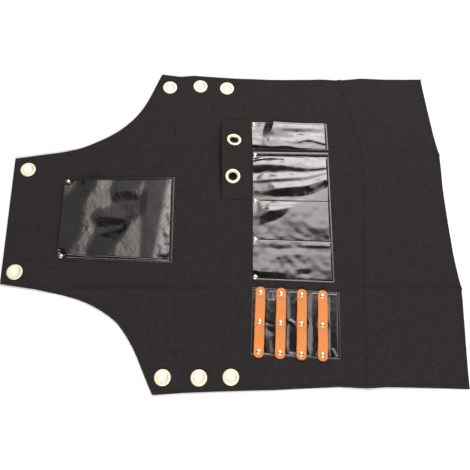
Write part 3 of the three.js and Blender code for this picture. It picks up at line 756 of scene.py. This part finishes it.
NARROW_CREASES = [
    ([(43, 30), (42, 23), (38, 8), (32, -32)], 3.6, 52, 16),
    ([(88, 10), (87, -18)], -0.4, 2.5, 2.5),
]
CREASE_KEPT, CREASE_FADES_FROM, CREASE_FADE = 0.3, 12, 16
NARROW_BUMPS = [(0.2, 22, 5), (0.25, 11, 6)]
CREASE_SHARPNESS = 1.2
STATION_ROUNDING = (-9, 0, 9)
LINE_ROUNDING = 0.4
POCKET_BOTTOM = 2.5


def crease(a, b, path, height, left, right):
    """A ridge, or a dent where the height is negative, along a path of points. Its two flanks, left and
    right of the path, reach the given distances."""
    nearest = np.full(np.broadcast(a, b).shape, np.inf)
    share = np.ones(nearest.shape)
    for (a0, b0), (a1, b1) in zip(path, path[1:]):
        da, db = a1 - a0, b1 - b0
        along = np.clip(((a - a0) * da + (b - b0) * db) / (da * da + db * db), 0, 1)
        off_a, off_b = a - a0 - along * da, b - b0 - along * db
        distance = np.hypot(off_a, off_b)
        flank = np.where(da * off_b - db * off_a > 0, left, right)
        closer = distance < nearest
        share = np.where(closer, np.minimum(distance / flank, 1), share)
        nearest = np.where(closer, distance, nearest)
    return height * (1 - share) ** CREASE_SHARPNESS


def crumpled(a, b, creases):
    """Where ridges meet, the higher one shows. Dents are pressed into all of them."""
    heights = [crease(a, b, *row) for row in creases]
    return np.maximum.reduce([0 * (a + b), *heights]) + sum(np.minimum(height, 0) for height in heights)


def down_panel(a, stations, values):
    """A value that changes smoothly down a panel, from its values at the stations."""
    return sum(np.interp(a + shift, stations, values) for shift in STATION_ROUNDING) / len(STATION_ROUNDING)


def ridged(a, b, stations, lines):
    """Height across a panel from lines that run down it, the far one first. Each has its places across
    and its heights at the stations, and the leather swings over from each line to the next."""
    places = [down_panel(a, stations, at) for at, up in lines]
    heights = [down_panel(a, stations, up) for at, up in lines]
    height = heights[0] + 0 * b
    for k in range(len(lines) - 1):
        share = np.clip((places[k] - b) / (places[k] - places[k + 1]), 0, 1)
        rounded = share * share * (3 - 2 * share)
        swing = (1 - LINE_ROUNDING) * share + LINE_ROUNDING * rounded
        height = height + (heights[k + 1] - heights[k]) * swing
    return height


def narrow_height(a, b):
    bottom = NARROW["length"] - a
    fading = CREASE_KEPT + (1 - CREASE_KEPT) * fade_out(CREASE_FADES_FROM - b, CREASE_FADE)
    loose = ridged(a, b, NARROW_STATIONS, NARROW_LINES) + crumpled(a, b, NARROW_CREASES) * fading
    free = held_down(a, b, NARROW_RIVETS.values()) * tucked(bottom, POCKET_BOTTOM)
    return np.maximum(free * (loose + bumps(a, b, NARROW_BUMPS)), 0) + seam_groove(bottom)


a, b = panel_grid(NARROW)
narrow_pocket = leather_panel("narrow_pocket_leather", NARROW, a, b, narrow_height(a, b))
narrow_seam = seam_path(NARROW, three_sides(NARROW), narrow_height)
narrow_stitches = sew("narrow_pocket_stitches", [narrow_seam], black_thread)
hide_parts("narrow_pocket")
for piece in (narrow_pocket, narrow_stitches):
    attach(piece, "root")


# Three-part pocket: one wide leather panel with two sewn dividers, so that it holds tools in three spaces.
# Long ridges run down its far space, each divider pulls a sharp groove, and the far lip curls up.
TRIPLE = {"u": 516.8, "v": 7.9, "turn": -1.5, "length": 147.3, "mouth": 255.5, "width": 261}
TRIPLE_DIVIDERS = (-52.5, 27)
TRIPLE_RIVETS = {
    "near": (RIVET_INSET, -125), "divider_1": (RIVET_INSET, -52.5),
    "divider_2": (RIVET_INSET, 26), "far": (RIVET_INSET, 124.5),
}
TRIPLE_FAR_SEAM, TRIPLE_FAR_CURL = 121.5, 1.5
TRIPLE_STATIONS = (0, 26, 42, 72, 106, 141)
TRIPLE_LINES = [
    ((124, 123, 123, 122, 121, 121), (0, 0, 0, 0, 0, 0)),
    ((100.5, 102.5, 102, 100, 95, 98.5), (3.5, 3.5, 3.4, 3.0, 2.5, 2.2)),
    ((83, 85, 86, 88, 87, 94), (0.1, 0.2, 0.3, 0.8, 1.3, 1.4)),
    ((67.5, 71, 72.5, 74.5, 76.5, 88), (2.1, 2.2, 2.4, 2.8, 2.8, 2.2)),
    ((60, 63, 65, 67, 71, 84), (1.0, 1.1, 1.4, 1.8, 2.3, 2.3)),
    ((46, 49, 50.5, 54.5, 58, 73), (1.4, 1.6, 3.6, 4.1, 4.3, 4.4)),
    ((35, 35, 35, 35.5, 39, 58), (0.6, 0.5, 0, -0.1, -0.1, -0.1)),
    ((27, 27, 27, 27, 27, 27), (0.2, 0, 0.2, 0.4, 0.7, 0.8)),
    ((14, 16, 16, 18, 14, 14), (0.5, 1.9, 2.0, 1.6, 1.2, 1.2)),
    ((0, 5, 6, 14, 11, 8), (1.6, 3.8, 3.9, 2.2, 1.15, 1.15)),
    ((-30, -19, -15, 6, -24, -26), (0.8, 0.2, 0.4, 2.0, 1.5, 1.5)),
    ((-45, -45, -45, -45, -45, -45), (0.2, 0.2, 0.2, 0.2, 0.3, 0.3)),
    ((-52.5, -52.5, -52.5, -52.5, -52.5, -52.5), (0, 0, 0, 0, 0, 0)),
    ((-60, -60, -60, -60, -61, -61), (0.25, 0.2, 0.2, 0.2, 0.5, 0.6)),
    ((-68, -68, -69, -68, -66, -65), (0.2, 0.05, 0, 0.05, 0.05, 0)),
    ((-80, -80, -80, -80, -80, -80), (0.5, 0.5, 0.7, 0.9, 0.4, 0.3)),
    ((-95, -95, -95, -95, -95, -95), (0.9, 0.9, 0.6, 0.7, 0.6, 0.5)),
    ((-108, -109, -108, -108, -108, -108), (1.4, 2.3, 0.5, 1.2, 0.9, 0.7)),
    ((-116, -115, -116, -118, -118, -118), (1.6, 2.1, 1.1, 0.9, 0.9, 0.8)),
    ((-126, -126, -127, -128, -128, -128), (0.3, 0, 0, 0.8, 0.8, 0.8)),
]
TRIPLE_CREASES = [
    ([(0, 111), (17, 115), (30, 118), (58, 117)], -0.45, 3.5, 3.5),
    ([(40, -69), (46, -73)], -0.5, 12, 12),
    ([(85, -66), (91, -68)], -0.45, 12, 12),
    ([(47, -92), (50, -108)], -0.3, 7, 7),
    ([(66, -99), (72, -108)], -0.35, 10, 10),
    ([(91, -115), (97, -116)], -0.6, 10, 10),
    ([(99, -45), (101, -45)], -0.3, 8, 8),
]
TRIPLE_BUMPS = [(0.5, 27, 7), (0.34, 13, 8)]
TRIPLE_ROLL, TRIPLE_HOLD = 2, 8
DIVIDER_DEPTH, DIVIDER_WIDTH, DIVIDER_CALM = 0.35, 0.7, 6
DIVIDER_FROM, DIVIDER_FADE = 8, 6


def triple_height(a, b):
    bottom = TRIPLE["length"] - a
    inset = np.minimum(np.minimum(TRIPLE_FAR_SEAM + SEAM_INSET - b, TRIPLE["width"] / 2 + b), bottom)
    from_divider = np.minimum.reduce([np.abs(b - at) for at in TRIPLE_DIVIDERS])
    loose = ridged(a, b, TRIPLE_STATIONS, TRIPLE_LINES) + crumpled(a, b, TRIPLE_CREASES)
    uneven = bumps(a, b, TRIPLE_BUMPS) * np.clip(from_divider / DIVIDER_CALM, 0, 1)
    started = 1 - fade_out(a - DIVIDER_FROM, DIVIDER_FADE)
    grooves = -DIVIDER_DEPTH * np.exp(-((from_divider / DIVIDER_WIDTH) ** 2)) * started
    free = held_down(a, b, TRIPLE_RIVETS.values(), reach=TRIPLE_HOLD)
    free = free * tucked(bottom, POCKET_BOTTOM) * tucked(inset, TRIPLE_ROLL)
    past_seam = np.clip((b - TRIPLE_FAR_SEAM) / (TRIPLE["width"] / 2 - TRIPLE_FAR_SEAM), 0, 1)
    curl = TRIPLE_FAR_CURL * past_seam * (2 - past_seam)
    return curl + free * (loose + uneven) + seam_groove(inset) + grooves


sides = [-TRIPLE["width"] / 2, *TRIPLE_DIVIDERS, TRIPLE["width"] / 2]
across_lines = [leather_lines(high - low) + low for low, high in zip(sides, sides[1:])]
a = leather_lines(TRIPLE["length"])[None, :]
b = np.sort(np.concatenate([*across_lines, TRIPLE_DIVIDERS]))[:, None]
triple_pocket = leather_panel("triple_pocket_leather", TRIPLE, a, b, triple_height(a, b))
side, bottom = TRIPLE["width"] / 2 - SEAM_INSET, TRIPLE["length"] - SEAM_INSET
triple_seams = [
    [(SEAM_START, -side), (bottom, -side), (bottom, TRIPLE_FAR_SEAM), (SEAM_START, TRIPLE_FAR_SEAM)],
    *([(SEAM_START, at), (bottom, at)] for at in TRIPLE_DIVIDERS),
]
triple_paths = [seam_path(TRIPLE, points, triple_height) for points in triple_seams]
triple_stitches = sew("triple_pocket_stitches", triple_paths, black_thread)
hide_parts("triple_pocket")
for piece in (triple_pocket, triple_stitches):
    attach(piece, "root")


# Eyelet flap: a patch of the body's canvas above the waist pockets, sewn down on three sides and open
# towards the bib. A fold lifts its middle into a low tent with a curled mouth, and it has two eyelets.
FLAP_FROM, FLAP_TO = 387, 443.5
FLAP_NEAR, FLAP_FAR = 37.5, 208
FLAP_RIDGE_AT = 128
FLAP_SEAT = CANVAS_TOP + LAYER_GAP
FLAP_SEAM, FLAP_SEAM_START, FLAP_STITCH_LIFT = 3, 2, 0.05
FLAP_BUMPS = [(0.25, 20, 9)]
MOUTH_GAP, MOUTH_GAP_AT, GAP_LONG, GAP_WIDE = 4, 188, 18, 20
MOUTH_CURL, CURL_FROM, CURL_TO, CURL_LONG, CURL_WIDE = 2.2, 66, 190, 10, 25
RIDGE_SOFTNESS, POCKET_SOFTNESS, FOOT_SOFTNESS = 0.5, 1.2, 0.4
FAR_SIDE = {"u": 411, "v": 160.5, "height": 5.2, "slope_u": -0.12, "slope_v": -0.22}
NEAR_SIDE = {"u": FLAP_FROM, "v": FLAP_NEAR, "height": 0, "slope_u": 0, "slope_v": 0.15}
POCKET_SIDE = {"u": FLAP_TO, "v": FLAP_NEAR, "height": 0, "slope_u": -0.6, "slope_v": 0}
FLAP_EYELETS = {"eyelet_flap_far": (411, 160.5, FAR_SIDE), "eyelet_flap_near": (407.5, 82.5, NEAR_SIDE)}


def soft_min(first, second, softness):
    blend = np.clip(0.5 + (second - first) / (2 * softness), 0, 1)
    return second * (1 - blend) + first * blend - softness * blend * (1 - blend)


def tent_side(side, u, v):
    return side["height"] + side["slope_u"] * (u - side["u"]) + side["slope_v"] * (v - side["v"])


def flap_height(u, v):
    """Three flat sides that meet in soft ridges. One corner of the mouth stands open and its lip curls."""
    tent = soft_min(tent_side(FAR_SIDE, u, v), tent_side(NEAR_SIDE, u, v), RIDGE_SOFTNESS)
    lifted = soft_min(tent, tent_side(POCKET_SIDE, u, v), POCKET_SOFTNESS)
    along, past_curl = u - FLAP_FROM, outside(v, CURL_FROM, CURL_TO)
    open_corner = MOUTH_GAP * fade_out(along, GAP_LONG) * fade_out(np.abs(v - MOUTH_GAP_AT), GAP_WIDE)
    curl = MOUTH_CURL * fade_out(along, CURL_LONG) * fade_out(past_curl, CURL_WIDE)
    return FLAP_SEAT - soft_min(-lifted, 0 * lifted, FOOT_SOFTNESS) + np.maximum(open_corner, curl)


to_ridge = np.linspace(FLAP_NEAR + CANVAS / 2, FLAP_RIDGE_AT, 44)
past_ridge = np.linspace(FLAP_RIDGE_AT, FLAP_FAR - CANVAS / 2, 36)[1:]
flap_v = np.concatenate([to_ridge, past_ridge])[:, None]
flap_u = np.linspace(FLAP_FROM + CANVAS / 2, FLAP_TO - CANVAS / 2, 30)[None, :]
u, v = np.broadcast_arrays(flap_u, flap_v)
flap_z = flap_height(u, v) + CANVAS + bumps(u, v, FLAP_BUMPS)
flap_top = np.stack([u - BIB_TO_MIDDLE, v, flap_z], axis=-1)
cut = np.zeros((flap_top.shape[0] - 1, flap_top.shape[1] - 1), bool)
for hole_u, hole_v, _ in FLAP_EYELETS.values():
    cut |= open_hole(flap_top, hole_u, hole_v, EYELET_BARREL + PUNCHED_ROOM)
eyelet_flap = closed_sheet("eyelet_flap_cloth", flap_top, CANVAS, [black_canvas], cut)

seam_top, seam_bottom = FLAP_FROM + FLAP_SEAM_START, FLAP_TO - FLAP_SEAM
seam_near, seam_far = FLAP_NEAR + FLAP_SEAM, FLAP_FAR - FLAP_SEAM
flap_corners = [
    (seam_top, seam_near), (seam_bottom, seam_near), (seam_bottom, seam_far), (seam_top, seam_far),
]
stretches = [np.linspace(p, q, 40) for p, q in zip(np.array(flap_corners), np.array(flap_corners[1:]))]
u, v = np.concatenate(stretches).T
flap_seam = np.stack([u - BIB_TO_MIDDLE, v, flap_height(u, v) + CANVAS + FLAP_STITCH_LIFT], axis=1)
flap_stitches = sew("eyelet_flap_stitches", [flap_seam], black_thread)
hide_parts("eyelet_flap")
for piece in (eyelet_flap, flap_stitches):
    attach(piece, "root")

for node, (eyelet_u, eyelet_v, side) in FLAP_EYELETS.items():
    eyelet = eyelet_ring(node + "_ring")
    rest = FLAP_SEAT + tent_side(side, eyelet_u, eyelet_v)
    outward = Vector((-side["slope_u"], -side["slope_v"], 1))
    eyelet.location = Vector((eyelet_u - BIB_TO_MIDDLE, eyelet_v, rest)) * MM
    eyelet.rotation_mode = "QUATERNION"
    eyelet.rotation_quaternion = Vector((0, 0, 1)).rotation_difference(outward)
    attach(eyelet, "root")
    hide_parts(node)


# Tool panel: a flat piece of the pocket leather that lies under the straps and keeps tools off the canvas.
# It is sewn down all round and held by the straps' rivets, and lies in shallow waves between them.
TOOL = {"u": 512.7, "v": -196, "turn": -3.6, "length": 156, "mouth": 119, "width": 119}
TOOL_ROLL, TOOL_HOLD, TOOL_LIFT = 1.5, 9, 0.5
TOOL_WAVES, TOOL_BUMPS = [(0.3, 30, 10)], [(0.1, 9, 11)]
WAVES_SHORTER_DOWN, WAVES_LONGER_ACROSS = 1.6, 0.8
STRAP_MIDDLE, STRAP_PITCH, RIVET_PITCH, STRAPS_UP = -1.2, 36.6, 52, 8
STRAP_AT = [TOOL["length"] / 2 - STRAPS_UP + (k - 1.5) * STRAP_PITCH for k in range(4)]
STRAP_RIVETS = [(at, STRAP_MIDDLE + row * RIVET_PITCH) for at in STRAP_AT for row in (-1, 0, 1)]
TOOL_CREASES = [
    ([(67, 3), (77, -3)], 0.9, 5, 5), ([(67, -54), (74, -55)], 0.8, 5, 5),
    ([(31, 56), (31, 41)], -0.6, 4, 4), ([(40, 56), (38, 42)], -0.6, 4, 4),
    ([(26, -2), (37, -5)], -0.5, 5, 5), ([(29, -15), (36, -17)], -0.8, 10, 10),
    ([(142, -44), (148, -57)], 0.7, 4, 4),
]
STRAP_RIDGES = [(1.6, 16), (0.9, 8), (1.1, 10), (0.5, 4)]
RIDGE_PAST_STRAP, RIDGE_HALF, RIDGE_STEEP = 9.5, 56, 5
for strap_at, (height, reach) in zip(STRAP_AT, STRAP_RIDGES):
    ridge_at = strap_at + RIDGE_PAST_STRAP
    TOOL_CREASES.append(([(ridge_at, RIDGE_HALF), (ridge_at, -RIDGE_HALF)], height, reach, RIDGE_STEEP))


def tool_panel_height(a, b):
    inset = np.minimum(TOOL["width"] / 2 - np.abs(b), np.minimum(a, TOOL["length"] - a))
    waves = TOOL_LIFT + bumps(a * WAVES_SHORTER_DOWN, b * WAVES_LONGER_ACROSS, TOOL_WAVES)
    waves = waves + bumps(a, b, TOOL_BUMPS)
    loose = held_down(a, b, STRAP_RIVETS, reach=TOOL_HOLD) * (waves + crumpled(a, b, TOOL_CREASES))
    return tucked(inset, TOOL_ROLL) * loose + seam_groove(inset)


a, b = panel_grid(TOOL)
tool_panel = leather_panel("tool_panel_leather", TOOL, a, b, tool_panel_height(a, b))
low_a, high_a, side_b = SEAM_INSET, TOOL["length"] - SEAM_INSET, TOOL["width"] / 2 - SEAM_INSET
round_panel = [(low_a, -side_b), (high_a, -side_b), (high_a, side_b), (low_a, side_b), (low_a, -side_b)]
tool_stitches = sew("tool_panel_stitches", [seam_path(TOOL, round_panel, tool_panel_height)], black_thread)
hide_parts("tool_panel")
for piece in (tool_panel, tool_stitches):
    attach(piece, "root")


# Tool straps: four strips of firm tan leather with rounded ends. Each is riveted at its ends and its
# middle, and stands up between the rivets as two loops for scissors and combs.
STRAP, STRAP_GAP = 2.2, 0.3
STRAP_LENGTH, STRAP_WIDTH, STRAP_CORNER = 125, 18, 7
STRAP_LOOP, STRAP_FLAT, STRAP_FULLNESS = 3.2, 7, 0.7
STRAP_SEAT = LEATHER_SEAT + LEATHER + STRAP_GAP
STRAP_BUMPS = [(0.08, 8, 12)]
RIVET_PRESS, RIVET_PRESS_REACH = 0.2, 5

tan_leather = new_finish("tan_leather", Specular_IOR_Level=0.35)
dyed = texture(tan_leather, "Noise", Scale=55, Detail=6, Roughness=0.6)
mottle(tan_leather, "Base Color", dyed.outputs["Fac"],
       (0.3, (0.665, 0.216, 0.044)), (0.7, (0.715, 0.245, 0.056)))
mottle(tan_leather, "Roughness", dyed.outputs["Fac"], (0.3, 0.48), (0.7, 0.62))
pebbled = texture(tan_leather, "Voronoi", Scale=700)
relief(tan_leather, pebbled.outputs["Distance"], depth=0.06, strength=0.4)
tan_edge = new_finish("tan_edge", Base_Color=(0.5, 0.15, 0.045, 1), Roughness=0.6)


def strap_rise(b):
    """Height of the strap between its rivets, from its distance to the middle one."""
    share = np.clip((np.abs(b - STRAP_MIDDLE) - STRAP_FLAT) / (RIVET_PITCH - 2 * STRAP_FLAT), 0, 1)
    return STRAP_LOOP * np.sin(np.pi * share) ** STRAP_FULLNESS


edge_step = STRAP_CORNER * (1 - np.cos(np.linspace(0, np.pi / 2, 9)))
half = STRAP_LENGTH / 2 - STRAP / 2
straight = np.linspace(-half + STRAP_CORNER, half - STRAP_CORNER, 90)[1:-1]
b_line = np.concatenate([-half + edge_step, straight, half - edge_step[::-1]])
past_corner = np.clip(np.abs(b_line) - (half - STRAP_CORNER), 0, STRAP_CORNER)
strap_half = STRAP_WIDTH / 2 - STRAP / 2 - STRAP_CORNER + np.sqrt(STRAP_CORNER**2 - past_corner**2)
for k, strap_at in enumerate(STRAP_AT, start=1):
    a, b = np.linspace(-1, 1, 13)[None, :] * strap_half[:, None], b_line[:, None] + STRAP_MIDDLE
    a, b = np.broadcast_arrays(a, b)
    x, y = on_panel(TOOL, a + strap_at, b)
    from_rivets = [np.hypot(a, b - STRAP_MIDDLE - row * RIVET_PITCH) for row in (-1, 0, 1)]
    pressed = sum(np.exp(-(distance / RIVET_PRESS_REACH) ** 2) for distance in from_rivets)
    z = STRAP_SEAT + STRAP + strap_rise(b) - RIVET_PRESS * pressed + bumps(a + strap_at, b, STRAP_BUMPS)
    top = np.stack([x, y, z], axis=-1)
    strap = closed_sheet(f"tool_strap_{k}_leather", top, STRAP, [tan_leather, tan_edge])
    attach(strap, "root")
    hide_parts(f"tool_strap_{k}")


# Rivets: small two-part rivets plated like the eyelets. Each has a domed cap with a fine rim on the front,
# and its post goes through every layer to a flat cap behind the canvas.
RIVET_CAP, RIVET_DOME, RIVET_RIM, RIVET_POST, RIVET_BACK = 4.2, 1.9, 0.5, 1.3, 3.4

bright_gold = new_finish("bright_gold", Metallic=1.0)
polished = texture(bright_gold, "Noise", Scale=300, Detail=3)
mottle(bright_gold, "Base Color", polished.outputs["Fac"],
       (0.38, (0.9, 0.74, 0.48)), (0.62, (0.95, 0.86, 0.68)))
mottle(bright_gold, "Roughness", polished.outputs["Fac"], (0.3, 0.24), (0.75, 0.36))


def rivet(name, x, y, grip):
    """A rivet whose cap stands on a pile of layers that is as thick as its grip."""
    dome = [
        (RIVET_CAP * 0.88 * math.cos(turn), grip + RIVET_RIM + (RIVET_DOME - RIVET_RIM) * math.sin(turn))
        for turn in np.linspace(0, np.radians(84), 9)
    ]
    back = [(RIVET_BACK - 0.3, -1.3), (RIVET_BACK, -1.0), (RIVET_BACK, -0.4), (RIVET_BACK - 0.2, -0.2)]
    post = [(RIVET_POST, -0.15), (RIVET_POST, grip - 0.1)]
    rim = [
        (RIVET_CAP - 0.15, grip), (RIVET_CAP, grip + 0.2),
        (RIVET_CAP - 0.1, grip + 0.45), (RIVET_CAP * 0.9, grip + RIVET_RIM),
    ]
    piece = lathe(name + "_cap", back + post + rim + dome, 24, bright_gold)
    piece.location = Vector((x, y, SEAT_HEIGHT)) * MM
    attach(piece, "root")
    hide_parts(name)


POCKET_GRIP = LEATHER_SEAT + LEATHER - SEAT_HEIGHT
STRAP_GRIP = STRAP_SEAT + STRAP - RIVET_PRESS - SEAT_HEIGHT
for pocket, panel, rivets in [
    ("chest_pocket", CHEST, CHEST_RIVETS), ("narrow_pocket", NARROW, NARROW_RIVETS),
    ("triple_pocket", TRIPLE, TRIPLE_RIVETS),
]:
    for where, (rivet_a, rivet_b) in rivets.items():
        x, y = on_panel(panel, rivet_a, rivet_b)
        rivet(f"{pocket}_rivet_{where}", x, y, POCKET_GRIP)
for k, strap_at in enumerate(STRAP_AT, start=1):
    for row in (1, 2, 3):
        x, y = on_panel(TOOL, strap_at, STRAP_MIDDLE + (row - 2) * RIVET_PITCH)
        rivet(f"tool_strap_{k}_rivet_{row}", x, y, STRAP_GRIP)
